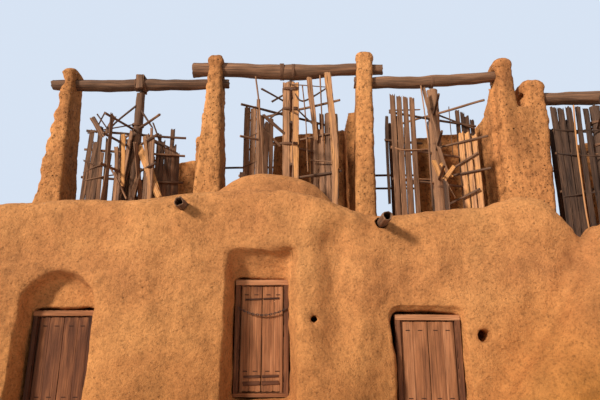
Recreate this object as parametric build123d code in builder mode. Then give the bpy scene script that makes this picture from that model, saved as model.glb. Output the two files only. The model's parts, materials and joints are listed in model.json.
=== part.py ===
"""A row of four adobe windmills: a mud-built mill house with a rotor of plank sails over each room.

Millimetres. X runs along the row, Y runs back from the facade and Z is up. The origin is on the
ground, at the facade's line, half way along the row.
"""

import os

from build123d import *

# Plan. Distances run along the row from its left end, depths run back from the facade's line.
wall_back = 600  # inner face of the front wall
rear_wall_front = 4300
rear_wall_thickness = 750
rear_wall_back = rear_wall_front + rear_wall_thickness
shaft_line = rear_wall_front - 1000  # depth of the beams and the shafts
pier_line = shaft_line + 15  # depth of the piers' middles

# Cross walls that carry the piers: left and right face. The third one leaves room for a door,
# so its pier reaches the ground on a foot of its own.
cross_walls = ((0, 880), (3600, 4330), (6780, 7330), (10450, 11650), (14170, 15000))
row_length = cross_walls[-1][1]
left_end = -row_length / 2
footed_pier = 2
foot_front = rear_wall_front - 1600

# Roof. The rotors stand on this deck, and all that is above it is measured up from it.
deck_height = 3000
deck_thickness = 350
low_roof_drop = 480  # the front part of the last bay's roof is lower
low_roof_back = wall_back + 1300
raised_floor = 400  # floor of the second room

# Front wall: distance, depth of its face at the shoulder, rise of its crest over the deck
wall_stations = (
    (0, 330, 50),
    (300, 40, 200),
    (1000, -90, 290),
    (2530, -110, 400),
    (3900, -290, 370),
    (5460, -140, 530),
    (6350, -300, 330),
    (7200, -60, 140),
    (8000, -20, 200),
    (9000, -40, 290),
    (9800, -70, 310),
    (10250, -60, -200),
    (10700, -60, -470),
    (12900, -60, -480),
    (row_length - 900, -60, -500),
    (row_length - 280, 40, -530),
    (row_length, 330, -600),
)
wall_batter = 110  # how much further forward the wall stands at the ground
crest_rounding = 340
wall_trim = 80  # the lofted wall is made this much too deep and too low, then cut flat
far = 6000  # a cut of this length passes right through the wall
niche_reach = 1600

# Buttress of piled mud: height as a share of the deck's, left edge, right edge, front
buttress_levels = (
    (0, 8420, 11950, -1050),
    (0.23, 8850, 11800, -960),
    (0.43, 9330, 11600, -820),
    (0.70, 9900, 11400, -640),
    (0.90, 10250, 11150, -420),
    (0.98, 10500, 10950, -180),
)

# Doors: distance of the middle, width, sill height, head height, depth of the frame, niche crown
doors = (
    (2530, 910, 120, 1670, 180, 2140),
    (5440, 800, 470, 2120, 170, 2470),
    (7840, 940, 120, 1610, 60, 1660),
    (12900, 900, 120, 1610, 60, 1660),
)
arched_niche = 0  # the first door stands under an arch, the others under a flat head
niche_flare = 14  # degrees by which a niche opens outwards
jamb_width = 80
frame_depth = 100
lintel_height = 90
threshold_height = 60

# Door leaves, hung on wooden pivots that turn in the lintel and the threshold
leaf_gap = 6
leaf_thickness = 30
stile_radius = 24
pivot_radius = 14
pivot_length = 36
pivot_clearance = 0.5
socket_depth = 44
plank_groove = 4
ledge_height = 80
ledge_thickness = 24
ledge_inset = 150  # from the leaf's ends to its ledges
ledge_start = 78  # clear of the jamb when the leaf is open

# Vent holes through the front wall: distance, height, radius
vents = ((6190, 1540, 62), (8610, 1320, 75))

# Wooden drain spouts: distance, rise over the deck
spouts = ((4270, 170), (7240, -40))
spout_radius = 70
spout_bore = 52
spout_reach = 480  # in front of the facade's line
spout_root = 420
seat_gap = 0.4  # between a log or spout and the mud round it

# Piers: distance and width at the deck, distance and width at the neck, rise of the top
piers = (
    (515, 730, 590, 250, 4450),
    (3965, 730, 4010, 320, 4680),
    (7420, 480, 7550, 370, 4790),
    (11050, 1200, 11145, 1130, 3600),
    (14480, 620, 14460, 330, 4150),
)
pier_depth = 850
neck_depth = 570
neck_drop = 330  # from a pier's top down to its neck
pier_rounding = 0.3  # radius of its upright edges as a share of the neck's width
horned_pier = 3  # this one forks into two horns: distance, width at root and neck, rise of the top
horns = ((10790, 460, 380, 4590), (11430, 600, 480, 4030))
horn_root = 2900
horn_depth = 630

# Lower walls behind the piers: thickness, rise where they meet the wind screens
partitions = {1: (420, 2650), 2: (430, 3300), 3: (520, 3280), 4: (420, 3000)}
swoop_rise = 620  # how far such a wall climbs towards its pier

# Wind screens, each up to the pier on its right: left end, rise at the left and at the right.
# The wind enters through the slot on the screen's left, which poles cross: pier, rise.
screens = (
    (1940, 2300, 2620),
    (5310, 3220, 3400),
    (8960, 3180, 3330),
    (12700, 2960, 3120),
)
screen_front = rear_wall_front + 330
screen_taper = 70
slot_poles = ((1, 2400), (2, 2180), (2, 1830), (3, 2300))
pole_radius = 28
pole_line = (screen_front + rear_wall_back) / 2

# Dome over the second room
dome_distance = 5460
dome_line = wall_back + 680
dome_radii = (1320, 675, 1180)
dome_shell = 250
dome_sink = 50  # its centre lies this far below the deck

# Beams: left end, left radius, middle rise and radius, right end, right radius. An end is its
# distance and its rise over the deck.
beams = (
    ((130, 3960), 125, 3950, 140, (4330, 3980), 115),
    ((3430, 4360), 175, 4290, 190, (7980, 4360), 125),
    ((7280, 4020), 135, 4040, 145, (10760, 4190), 125),
    ((11180, 3560), 155, 3640, 165, (14850, 3760), 135),
)

# Rotors: distance, radius, shaft radius at the foot and at the head, rise of the sails' tops,
# boards in a sail, board width, turn of the first sail at rest in degrees, rises of the arms
rotors = (
    (2240, 1100, 118, 96, 3150, 4, 105, 12, (500, 1600, 2250, 2700)),
    (5775, 1260, 122, 104, 3880, 4, 110, 32, (500, 1500, 2400, 3150)),
    (9120, 1180, 132, 122, 3500, 4, 120, 20, (500, 1510, 2230, 3070)),
    (12900, 1100, 122, 104, 3330, 3, 145, 4, (500, 1320, 2220, 2760)),
)
broken_rotor = 0
sail_count = 6
sail_foot = 130
board_thickness = 22
board_gap = 14
top_steps = (0, 45, 15, 70)  # board tops, down from the sail's top
broken_steps = (0, 560, 240, 830)  # the same on the broken rotor
arm_size = 55
arm_pitch = 66  # the three through arms at one level are stacked at this spacing
mortise_gap = 0.3
shaft_head_gap = 90  # from the shaft's head to the underside of its beam
gudgeon_radius = 28
gudgeon_bite = 110  # how far the head pin runs up into the beam
gudgeon_clearance = 0.5
stone_size = 420
stone_height = 110
foot_pin_radius = 30
foot_pin_length = 60
foot_clearance = 0.3


def along(distance):
    """X of a point this far from the row's left end."""
    return left_end + distance


def export(label, piece):
    """Write one node, named after its label."""
    piece.label = label
    export_step(piece, f"parts/{label}.step")


def block(x, y, z, mode=Mode.ADD):
    """A box given by its ranges along X, Y and Z, for use inside a BuildPart block."""
    with Locations((x[0], y[0], z[0])):
        Box(x[1] - x[0], y[1] - y[0], z[1] - z[0], align=(Align.MIN,) * 3, mode=mode)


def pier_sides(index):
    """X of a pier's left and right faces at the deck."""
    distance, width = piers[index][:2]
    return along(distance) - width / 2, along(distance) + width / 2


def lofted_log(index, extra=0):
    """A beam: a log that is thickest at its middle and bends there."""
    start, start_radius, middle_rise, middle_radius, end, end_radius = beams[index]
    slices = (
        (*start, start_radius),
        ((start[0] + end[0]) / 2, middle_rise, middle_radius),
        (*end, end_radius),
    )
    with BuildPart() as log:
        for distance, rise, radius in slices:
            with BuildSketch(Plane.YZ.offset(along(distance))):
                with Locations((shaft_line, deck_height + rise)):
                    Circle(radius + extra)
        loft(ruled=True)
    return log.part


def beam_underside(index, distance):
    """Height of a beam's underside, which runs straight from its middle to each end."""
    start, start_radius, middle_rise, middle_radius, end, end_radius = beams[index]
    middle = (start[0] + end[0]) / 2
    (tip, rise), radius = (start, start_radius) if distance < middle else (end, end_radius)
    share = (distance - middle) / (tip - middle)
    return deck_height + (middle_rise - middle_radius) * (1 - share) + (rise - radius) * share


# Front wall, made as one mass, then split beside and over its doorways
def front_wall_mass():
    with BuildPart() as mass:
        for distance, face, rise in wall_stations:
            rounding = min(crest_rounding, wall_back - face - wall_trim)
            crest = deck_height + rise
            back_height = min(crest, deck_height) - 10
            with BuildSketch(Plane.YZ.offset(along(distance))):
                with BuildLine():
                    Polyline(
                        (face, crest - rounding),
                        (face - wall_batter, -wall_trim),
                        (wall_back + wall_trim, -wall_trim),
                        (wall_back + wall_trim, back_height),
                        (face + rounding, crest),
                    )
                    Bezier((face + rounding, crest), (face, crest), (face, crest - rounding))
                make_face()
        loft()
        with BuildPart(mode=Mode.PRIVATE) as mound:
            for share, left, right, front in buttress_levels:
                width, depth = right - left, wall_back - front
                with BuildSketch(Plane.XY.offset(share * deck_height)):
                    with Locations((along((left + right) / 2), front + depth / 2)):
                        Ellipse(width / 2, depth / 2)
            loft()
        add(mound.part)
        block(
            (along(0), along(row_length)), (-far, wall_back), (0, far), mode=Mode.INTERSECT
        )
        for index, (distance, width, sill, head, face, crown) in enumerate(doors):
            x = along(distance)
            block(
                (x - width / 2, x + width / 2), (-far, wall_back), (sill, head),
                mode=Mode.SUBTRACT,
            )
            with BuildSketch(Plane.XZ.offset(-face)):
                with BuildLine():
                    if index == arched_niche:
                        spring = crown - width / 3
                        ThreePointArc((x - width / 2, spring), (x, crown), (x + width / 2, spring))
                        top = spring
                    else:
                        Line((x - width / 2, crown), (x + width / 2, crown))
                        top = crown
                    Polyline(
                        (x - width / 2, top), (x - width / 2, sill),
                        (x + width / 2, sill), (x + width / 2, top),
                    )
                make_face()
            extrude(amount=niche_reach, taper=-niche_flare, mode=Mode.SUBTRACT)
        for distance, height, radius in vents:
            with Locations(Location((along(distance), 0, height), (90, 0, 0))):
                Cylinder(radius, far, mode=Mode.SUBTRACT)
        for distance, rise in spouts:
            with Locations(Location((along(distance), 0, deck_height + rise), (90, 0, 0))):
                Cylinder(spout_radius + seat_gap, far, mode=Mode.SUBTRACT)
    return mass.part


def part_of(mass, x, z):
    """The stretch of the front wall between two distances and two heights."""
    with BuildPart() as stretch:
        add(mass)
        block((along(x[0]), along(x[1])), (-far, wall_back), z, mode=Mode.INTERSECT)
    return stretch.part


def make_front_wall():
    mass = front_wall_mass()
    start = 0
    openings = [(middle - width / 2, middle + width / 2) for middle, width, *_ in doors]
    for number, (left, right) in enumerate(openings + [(row_length, 0)], start=1):
        export(f"front_wall_{number}", part_of(mass, (start, left), (0, far)))
        start = right
    with BuildPart() as over_doors:
        for opening, door in zip(openings, doors):
            add(part_of(mass, opening, (door[3], far)))
    export("walls_over_doors", over_doors.part)
    with BuildPart() as sills:
        for opening, door in zip(openings, doors):
            add(part_of(mass, opening, (0, door[2])))
    export("door_sills", sills.part)


# Piers, each standing on the cross wall between two rooms
def leaning_column(foot, head):
    """A mud column between two levels, each a distance, a width, a depth and a rise."""
    with BuildPart() as column:
        for view, middles, sizes in (
            (Plane.XZ, (along(foot[0]), along(head[0])), (foot[1], head[1])),
            (Plane.YZ, (pier_line, pier_line), (foot[2], head[2])),
        ):
            low, high = deck_height + foot[3], deck_height + head[3]
            with BuildSketch(view):
                with BuildLine():
                    Polyline(
                        (middles[0] - sizes[0] / 2, low), (middles[0] + sizes[0] / 2, low),
                        (middles[1] + sizes[1] / 2, high), (middles[1] - sizes[1] / 2, high),
                        close=True,
                    )
                make_face()
            extrude(
                amount=2 * far, both=True,
                mode=Mode.ADD if view == Plane.XZ else Mode.INTERSECT,
            )
        arrises = column.edges().filter_by(lambda edge: abs(edge.tangent_at(0).Z) > 0.5)
        fillet(arrises, min(head[1], head[2]) * pier_rounding)
    return column.part


def pier_top(distance, neck, depth, top):
    """The swollen knob that ends a pier, from its neck up."""
    sections = (
        (neck * 0.95, depth * 0.95, top - neck_drop),
        (neck * 1.12, depth * 1.06, top - neck_drop * 0.55),
        (neck * 0.92, depth * 0.85, top - neck_drop * 0.2),
        (neck * 0.45, depth * 0.4, top),
    )
    with BuildPart() as knob:
        for width, length, rise in sections:
            with BuildSketch(Plane.XY.offset(deck_height + rise)):
                with Locations((along(distance), pier_line)):
                    RectangleRounded(width, length, min(width, length) * pier_rounding)
        loft()
    return knob.part


def partition_profile(thickness, rise):
    """A partition's side, seen along the row, with its top swooping up to the pier."""
    base, top = deck_height, deck_height + rise
    with BuildLine() as outline:
        Polyline(
            (pier_line, top + swoop_rise), (pier_line, base), (rear_wall_back, base),
            (rear_wall_back - screen_taper, top), (screen_front, top),
        )
        Bezier(
            (screen_front, top), (pier_line + pier_depth / 2, top),
            (pier_line + pier_depth / 3, top + swoop_rise / 3), (pier_line, top + swoop_rise),
        )
    return outline.line


def make_pier(index):
    distance, width, neck_distance, neck, top = piers[index]
    x = along(cross_walls[index][0]), along(cross_walls[index][1])
    with BuildPart() as pier:
        block(x, (wall_back, rear_wall_front), (0, deck_height))
        if index == footed_pier:
            block((x[1], pier_sides(index)[1]), (foot_front, rear_wall_front), (0, deck_height))
        if index >= horned_pier:
            block(
                x, (wall_back, low_roof_back), (deck_height - low_roof_drop, deck_height),
                mode=Mode.SUBTRACT,
            )
        foot = (distance, width, pier_depth, 0)
        if index == horned_pier:
            add(leaning_column(foot, (neck_distance, neck, horn_depth, top - neck_drop)))
            for horn, root, horn_neck, horn_top in horns:
                end = (horn, horn_neck, neck_depth, horn_top - neck_drop)
                add(leaning_column((horn, root, horn_depth, horn_root), end))
                add(pier_top(horn, horn_neck, neck_depth, horn_top))
        else:
            add(leaning_column(foot, (neck_distance, neck, neck_depth, top - neck_drop)))
            add(pier_top(neck_distance, neck, neck_depth, top))
        if index in partitions:
            thickness, rise = partitions[index]
            with BuildSketch(Plane.YZ.offset(pier_sides(index)[0])):
                make_face(partition_profile(thickness, rise))
            extrude(amount=thickness)
        for beam in range(len(beams)):
            if beams[beam][0][0] < distance + width and beams[beam][4][0] > distance - width:
                add(lofted_log(beam, seat_gap), mode=Mode.SUBTRACT)
    export(f"pier_{index + 1}", pier.part)


# Rear wall and the wind screens on it
def make_rear():
    with BuildPart() as rear_wall:
        block((along(0), along(row_length)), (rear_wall_front, rear_wall_back), (0, deck_height))
    export("rear_wall", rear_wall.part)
    with BuildPart() as wind_screens:
        for index, (left, low, high) in enumerate(screens):
            with BuildPart(mode=Mode.PRIVATE) as screen:
                for x, rise in ((along(left), low), (pier_sides(index + 1)[0], high)):
                    top = deck_height + rise
                    with BuildSketch(Plane.YZ.offset(x)):
                        with BuildLine():
                            Polyline(
                                (screen_front, deck_height),
                                (screen_front + screen_taper / 2, top),
                                (rear_wall_back - screen_taper, top),
                                (rear_wall_back, deck_height),
                                close=True,
                            )
                        make_face()
                loft(ruled=True)
            add(screen.part)
    export("wind_screens", wind_screens.part)
    with BuildPart() as poles:
        for index, rise in slot_poles:
            start = pier_sides(index)[0] + partitions[index][0]
            end = along(screens[index][0])
            with Locations(Location((start, pole_line, deck_height + rise), (0, 90, 0))):
                Cylinder(pole_radius, end - start, align=(Align.CENTER, Align.CENTER, Align.MIN))
    export("slot_poles", poles.part)


# Mud roofs, the dome and the raised floor
def dome_ellipsoid(shell):
    """Half of the dome's outer or inner surface as a solid, standing on the deck."""
    across, back, rise = (radius - shell for radius in dome_radii)
    base = deck_height - dome_sink
    with BuildPart() as half:
        with BuildSketch(Plane.XZ):
            with BuildLine():
                JernArc((0, 1000), (1, 0), 1000, -90)
                Polyline((1000, 0), (0, 0), (0, 1000))
            make_face()
        revolve(axis=Axis.Z)
    with BuildPart() as dome:
        add(scale(half.part, by=(across / 1000, back / 1000, rise / 1000)))
    return Pos(along(dome_distance), dome_line, base) * dome.part


def make_roofs():
    with BuildPart() as roofs:
        for index in range(len(rotors)):
            x = along(cross_walls[index][1]), along(cross_walls[index + 1][0])
            front = low_roof_back if index == horned_pier else wall_back
            block(x, (front, rear_wall_front), (deck_height - deck_thickness, deck_height))
            if index == horned_pier:
                low_roof = deck_height - low_roof_drop
                step_back = low_roof_back + deck_thickness
                block(x, (wall_back, step_back), (low_roof - deck_thickness, low_roof))
                block(x, (low_roof_back, step_back), (low_roof, deck_height - deck_thickness))
        block(
            (along(cross_walls[footed_pier][1]), pier_sides(footed_pier)[1]),
            (foot_front, rear_wall_front), (0, deck_height), mode=Mode.SUBTRACT,
        )
        with BuildSketch(Plane.XY.offset(deck_height - deck_thickness)):
            with Locations((along(dome_distance), dome_line)):
                Ellipse(dome_radii[0] - dome_shell, dome_radii[1] - dome_shell)
        extrude(amount=deck_thickness, mode=Mode.SUBTRACT)
    export("mud_roofs", roofs.part)
    with BuildPart() as dome:
        add(dome_ellipsoid(0))
        add(dome_ellipsoid(dome_shell), mode=Mode.SUBTRACT)
        block((along(0), along(row_length)), (0, far), (0, deck_height), mode=Mode.SUBTRACT)
    export("dome", dome.part)
    with BuildPart() as floor:
        left, right = cross_walls[1][1], cross_walls[2][0]
        block((along(left), along(right)), (wall_back, rear_wall_front), (0, raised_floor))
    export("raised_floor", floor.part)


# Beams between the piers, bored for the head pins of the shafts
def make_beams():
    for index, (distance, *_) in enumerate(rotors):
        with BuildPart() as beam:
            add(lofted_log(index))
            with Locations((along(distance), shaft_line, beam_underside(index, distance))):
                Cylinder(
                    gudgeon_radius + gudgeon_clearance, 2 * gudgeon_bite + 40, mode=Mode.SUBTRACT
                )
        export(f"beam_{index + 1}", beam.part)


def make_drains_and_stones():
    with BuildPart() as drains:
        for distance, rise in spouts:
            root = Location((along(distance), spout_root, deck_height + rise), (90, 0, 0))
            with Locations(root):
                Cylinder(
                    spout_radius, spout_root + spout_reach,
                    align=(Align.CENTER, Align.CENTER, Align.MIN),
                )
                Cylinder(spout_bore, far, mode=Mode.SUBTRACT)
    export("drain_spouts", drains.part)
    with BuildPart() as stones:
        for distance, *_ in rotors:
            x = along(distance)
            with Locations((x, shaft_line, deck_height + stone_height / 2)):
                Box(stone_size, stone_size, stone_height)
            with Locations((x, shaft_line, deck_height + stone_height)):
                Cylinder(
                    foot_pin_radius + foot_clearance, 2 * foot_pin_length + 1, mode=Mode.SUBTRACT
                )
    export("footstep_stones", stones.part)


# Doors: a frame in the doorway and two plank leaves that open inwards
def make_door(index):
    middle, width, sill, head, face, _ = doors[index]
    x, half = along(middle), width / 2
    bottom, top = sill + threshold_height, head - lintel_height
    hinge_line = face + frame_depth / 2
    inner = half - jamb_width
    hinge = inner - leaf_gap - stile_radius
    with BuildPart() as frame:
        block((x - half, x + half), (face, face + frame_depth), (sill, head))
        block((x - inner, x + inner), (face, face + frame_depth), (bottom, top), mode=Mode.SUBTRACT)
        for side in (-1, 1):
            for height in (bottom, top):
                with Locations((x + side * hinge, hinge_line, height)):
                    Cylinder(pivot_radius + pivot_clearance, 2 * socket_depth, mode=Mode.SUBTRACT)
    export(f"door_{index + 1}_frame", frame.part)
    for side, label in ((-1, "left"), (1, "right")):
        low, high = bottom + leaf_gap, top - leaf_gap
        edges = sorted((x + side * hinge, x + side * leaf_gap / 2))
        ledges = sorted((x + side * (hinge - ledge_start), x + side * (leaf_gap / 2 + 30)))
        leaf_back = hinge_line + leaf_thickness / 2
        with BuildPart() as leaf:
            block(edges, (hinge_line - leaf_thickness / 2, leaf_back), (low, high))
            for share in (1 / 3, 2 / 3):
                groove = edges[0] + share * (edges[1] - edges[0])
                block(
                    (groove - plank_groove, groove + plank_groove),
                    (hinge_line - leaf_thickness / 2, hinge_line - leaf_thickness / 2 + plank_groove),
                    (low, high), mode=Mode.SUBTRACT,
                )
            for height in (low + ledge_inset, high - ledge_inset - ledge_height):
                block(ledges, (leaf_back, leaf_back + ledge_thickness), (height, height + ledge_height))
            with Locations((x + side * hinge, hinge_line, (low + high) / 2)):
                Cylinder(stile_radius, high - low)
                Cylinder(pivot_radius, high - low + 2 * pivot_length)
        export(f"door_{index + 1}_{label}_leaf", leaf.part)


# Rotors: a shaft with arms through it and a sail of vertical boards on each pair of arms
def make_rotor(index):
    distance, radius, foot_radius, head_radius, top, boards, board_width, turn, rises = rotors[index]
    x = along(distance)
    foot = deck_height + stone_height + foot_clearance
    shaft_head = beam_underside(index, distance) - shaft_head_gap
    steps = broken_steps if index == broken_rotor else top_steps
    arm_spots = [
        Location(
            (x, shaft_line, deck_height + rise + step * arm_pitch),
            (0, 0, turn + 360 / sail_count * step),
        )
        for rise in rises
        for step in range(sail_count // 2)
    ]
    with BuildPart() as shaft:
        with Locations((x, shaft_line, foot)):
            Cone(
                foot_radius, head_radius, shaft_head - foot,
                align=(Align.CENTER, Align.CENTER, Align.MIN),
            )
            Cylinder(foot_pin_radius, 2 * foot_pin_length)
        with Locations((x, shaft_line, shaft_head)):
            Cylinder(gudgeon_radius, 2 * (shaft_head_gap + gudgeon_bite))
        with Locations(*arm_spots):
            mortise = arm_size + 2 * mortise_gap
            Box(3 * foot_radius, mortise, mortise, mode=Mode.SUBTRACT)
    export(f"rotor_{index + 1}_shaft", shaft.part)
    with BuildPart() as arms:
        with Locations(*arm_spots):
            Box(2 * radius, arm_size, arm_size)
    export(f"rotor_{index + 1}_arms", arms.part)
    with BuildPart() as sails:
        for sail in range(sail_count):
            hub = Location((x, shaft_line, deck_height + sail_foot), (0, 0, turn + 60 * sail))
            for board in range(boards):
                reach = radius - board_width / 2 - board * (board_width + board_gap)
                height = top - steps[(board + sail) % len(steps)] - sail_foot
                with Locations(hub * Location((reach, (arm_size + board_thickness) / 2, 0))):
                    Box(
                        board_width, board_thickness, height,
                        align=(Align.CENTER, Align.CENTER, Align.MIN),
                    )
    export(f"rotor_{index + 1}_sails", sails.part)


os.makedirs("parts", exist_ok=True)
make_front_wall()
for pier_index in range(len(piers)):
    make_pier(pier_index)
make_rear()
make_roofs()
make_beams()
make_drains_and_stones()
for door_index in range(len(doors)):
    make_door(door_index)
for rotor_index in range(len(rotors)):
    make_rotor(rotor_index)
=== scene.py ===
import json
import math
import random

import bpy
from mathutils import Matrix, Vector, noise

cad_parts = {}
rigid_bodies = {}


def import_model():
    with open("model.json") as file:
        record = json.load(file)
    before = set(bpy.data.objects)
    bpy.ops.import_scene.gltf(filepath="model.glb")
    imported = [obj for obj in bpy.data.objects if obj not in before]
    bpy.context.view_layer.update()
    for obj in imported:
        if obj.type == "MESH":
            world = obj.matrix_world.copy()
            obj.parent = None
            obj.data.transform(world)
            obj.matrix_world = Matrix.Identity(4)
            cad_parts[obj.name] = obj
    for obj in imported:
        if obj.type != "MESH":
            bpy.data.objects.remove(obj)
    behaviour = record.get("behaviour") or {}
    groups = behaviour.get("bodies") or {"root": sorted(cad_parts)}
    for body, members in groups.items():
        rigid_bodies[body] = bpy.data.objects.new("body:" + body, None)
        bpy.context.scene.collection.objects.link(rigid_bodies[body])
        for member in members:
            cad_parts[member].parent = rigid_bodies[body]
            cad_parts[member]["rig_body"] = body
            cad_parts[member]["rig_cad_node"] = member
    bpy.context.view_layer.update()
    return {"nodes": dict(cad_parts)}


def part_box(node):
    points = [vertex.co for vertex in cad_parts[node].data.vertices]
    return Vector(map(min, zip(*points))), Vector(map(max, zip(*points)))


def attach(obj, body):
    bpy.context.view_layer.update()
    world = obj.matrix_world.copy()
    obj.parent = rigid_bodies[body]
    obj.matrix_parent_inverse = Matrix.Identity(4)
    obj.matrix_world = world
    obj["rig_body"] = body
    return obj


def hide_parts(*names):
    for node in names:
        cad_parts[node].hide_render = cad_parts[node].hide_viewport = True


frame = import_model()
bpy.ops.object.select_all(action="DESELECT")

# Front wall
# A battered wall of sun-dried brick under many coats of mud plaster: clay, sand and chopped
# straw laid on by hand. The doorways' niches and a buttress of piled mud are of the same mass.
# The plaster dries in broad mottled patches, and rain leaves fine pits and streaks in it.
MUD_LIGHT = (0.72, 0.315, 0.108, 1)
MUD_MIDDLE = (0.60, 0.245, 0.083, 1)
MUD_DARK = (0.43, 0.165, 0.058, 1)
STRAW = (0.74, 0.40, 0.17, 1)
# Painted shade: the wall's colour is darkened and browned towards its foot, most at its right end
# where the buttress stands.
MUD_PAINTED_SHADE = (0.62, 0.53, 0.30, 1)
PAINTED_SHADE_HEIGHTS = (0.4, 2.2, 1.0, 0.0)  # two heights, and how much painted shade the wall gets at each
PAINTED_SHADE_SIDES = (1.0, 2.0, 0.35, 1.0)  # two distances from left to right, and the same
FRONT_NODES = [f"front_wall_{number}" for number in range(1, 6)]
FRONT_NODES += ["walls_over_doors", "door_sills"]


def node(tree, kind, **values):
    """A shader node. A value named like one of its inputs is set there."""
    made = tree.nodes.new(kind)
    for name, value in values.items():
        if name in made.inputs:
            made.inputs[name].default_value = value
        else:
            setattr(made, name, value)
    return made


def mapped(tree, scale, rotation=(0, 0, 0), attribute=None):
    """Object coordinates, or a piece's own attribute, stretched and turned."""
    if attribute:
        source = node(tree, "ShaderNodeAttribute", attribute_name=attribute).outputs["Vector"]
    else:
        source = node(tree, "ShaderNodeTexCoord").outputs["Object"]
    mapping = node(tree, "ShaderNodeMapping", Scale=scale, Rotation=rotation)
    tree.links.new(source, mapping.inputs["Vector"])
    return mapping.outputs["Vector"]


def clouds(tree, vector, scale, detail=6.0, roughness=0.6):
    made = node(tree, "ShaderNodeTexNoise", Scale=scale, Detail=detail, Roughness=roughness)
    tree.links.new(vector, made.inputs["Vector"])
    return made.outputs["Fac"]


def ramp(tree, factor, stops):
    """A colour ramp over a factor. Its stops are (position, colour) pairs."""
    made = node(tree, "ShaderNodeValToRGB")
    while len(made.color_ramp.elements) < len(stops):
        made.color_ramp.elements.new(0.5)
    for element, (position, colour) in zip(made.color_ramp.elements, stops):
        element.position = position
        element.color = colour
    tree.links.new(factor, made.inputs["Fac"])
    return made.outputs["Color"]


def mixed(tree, kind, factor, first, second):
    """Two colours blended. The factor is a number or a socket."""
    made = node(tree, "ShaderNodeMix", data_type="RGBA", blend_type=kind)
    sockets = (made.inputs[0], made.inputs[6], made.inputs[7])
    for socket, value in zip(sockets, (factor, first, second)):
        if isinstance(value, bpy.types.NodeSocket):
            tree.links.new(value, socket)
        else:
            socket.default_value = value
    return made.outputs[2]


def bumps(tree, shader, heights):
    """Bump nodes one after another. Each height is (socket, strength, distance)."""
    normal = None
    for height, strength, distance in heights:
        step = node(tree, "ShaderNodeBump", Strength=strength, Distance=distance)
        tree.links.new(height, step.inputs["Height"])
        if normal is not None:
            tree.links.new(normal, step.inputs["Normal"])
        normal = step.outputs["Normal"]
    tree.links.new(normal, shader.inputs["Normal"])


def grey(value):
    return (value, value, value, 1)


def new_material(name, roughness, specular):
    material = bpy.data.materials.new(name)
    material.use_nodes = True
    shader = material.node_tree.nodes["Principled BSDF"]
    shader.inputs["Roughness"].default_value = roughness
    shader.inputs["Specular IOR Level"].default_value = specular
    return material, material.node_tree, shader


def mud_material(name, pitting_and_pit_shade, weathering, whole, pocks):
    """Mud plaster. Pitting deepens the holes, which lie in patches below 1 of `whole`, and darkens
    them and the low speckles with painted shade; weathering darkens the surface in streaks."""
    material, tree, shader = new_material(name, 0.95, 0.15)
    patches = clouds(tree, mapped(tree, (1, 1, 1.3)), 0.55, 7.0, 0.62)
    colour = ramp(tree, patches, ((0.30, MUD_DARK), (0.46, MUD_MIDDLE), (0.64, MUD_LIGHT)))
    mottle = clouds(tree, mapped(tree, (1, 1, 1)), 7.0, 9.0, 0.74)
    shade = ramp(tree, mottle, ((0.25, grey(0.6)), (0.5, grey(0.98)), (0.78, grey(1.2))))
    colour = mixed(tree, "MULTIPLY", 1.0, colour, shade)
    streaks = clouds(tree, mapped(tree, (1, 1, 0.22)), 2.2, 5.0)
    rain = ramp(tree, streaks, ((0.34, grey(1 - weathering)), (0.56, grey(1.0))))
    colour = mixed(tree, "MULTIPLY", 1.0, colour, rain)
    # The low speckles are darkened, more with deeper pitting, as painted shade in fine pocks.
    speckle = clouds(tree, mapped(tree, (1, 1, pocks)), 27.0 * pocks, 4.0, 0.75)
    dots = ramp(tree, speckle, (
        (0.34, grey(0.75 - 0.5 * pitting_and_pit_shade)), (0.48, grey(1.0)), (0.72, grey(1.16)),
    ))
    colour = mixed(tree, "MULTIPLY", 0.85, colour, dots)
    for turn, stretch in ((0.5, (150, 26, 150)), (2.1, (26, 150, 90)), (1.2, (140, 140, 22))):
        flecks = clouds(tree, mapped(tree, stretch, (turn, turn * 0.7, turn * 1.9)), 1.0, 1.0, 0.3)
        thin = ramp(tree, flecks, ((0.73, grey(0.0)), (0.78, grey(0.7))))
        colour = mixed(tree, "MIX", thin, colour, STRAW)
    # Painted shade, darker towards the wall's foot and its right end.
    place = node(tree, "ShaderNodeSeparateXYZ")
    tree.links.new(mapped(tree, (1, 1, 1)), place.inputs[0])
    painted_shade = node(tree, "ShaderNodeMath", operation="MULTIPLY")
    for count, (axis, span) in enumerate((("Z", PAINTED_SHADE_HEIGHTS), ("X", PAINTED_SHADE_SIDES))):
        fade = node(tree, "ShaderNodeMapRange")
        for socket, value in zip(fade.inputs[1:5], span):
            socket.default_value = value
        tree.links.new(place.outputs[axis], fade.inputs[0])
        tree.links.new(fade.outputs[0], painted_shade.inputs[count])
    colour = mixed(tree, "MULTIPLY", painted_shade.outputs[0], colour, MUD_PAINTED_SHADE)
    holes = node(tree, "ShaderNodeTexVoronoi", Scale=9.0, Randomness=1.0)
    tree.links.new(mapped(tree, (1, 1, 1.4)), holes.inputs["Vector"])
    pits = ramp(tree, holes.outputs["Distance"], ((0.04, grey(0.0)), (0.24, grey(1.0))))
    # Painted shade in the holes: their centres are darkened, more with deeper pitting, and `worn`
    # carries this painted shade in patches.
    hollow = ramp(tree, holes.outputs["Distance"], ((0.05, grey(0.28)), (0.20, grey(1.0))))
    patchy = clouds(tree, mapped(tree, (1, 1, 1)), 2.6, 3.0)
    few = ramp(tree, patchy, ((0.46 - whole, grey(0.0)), (0.6 - whole, grey(1.0))))
    worn = mixed(tree, "MULTIPLY", pitting_and_pit_shade, colour, hollow)
    colour = mixed(tree, "MIX", few, colour, worn)
    grit = clouds(tree, mapped(tree, (1, 1, 1)), 38.0, 8.0, 0.7)
    tree.links.new(colour, shader.inputs["Base Color"])
    bumps(tree, shader, (
        (grit, 0.6, 0.014), (speckle, 0.45, 0.03), (mottle, 0.75, 0.06),
        (pits, 0.15 + 0.6 * pitting_and_pit_shade, 0.04),
    ))
    return material


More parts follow.
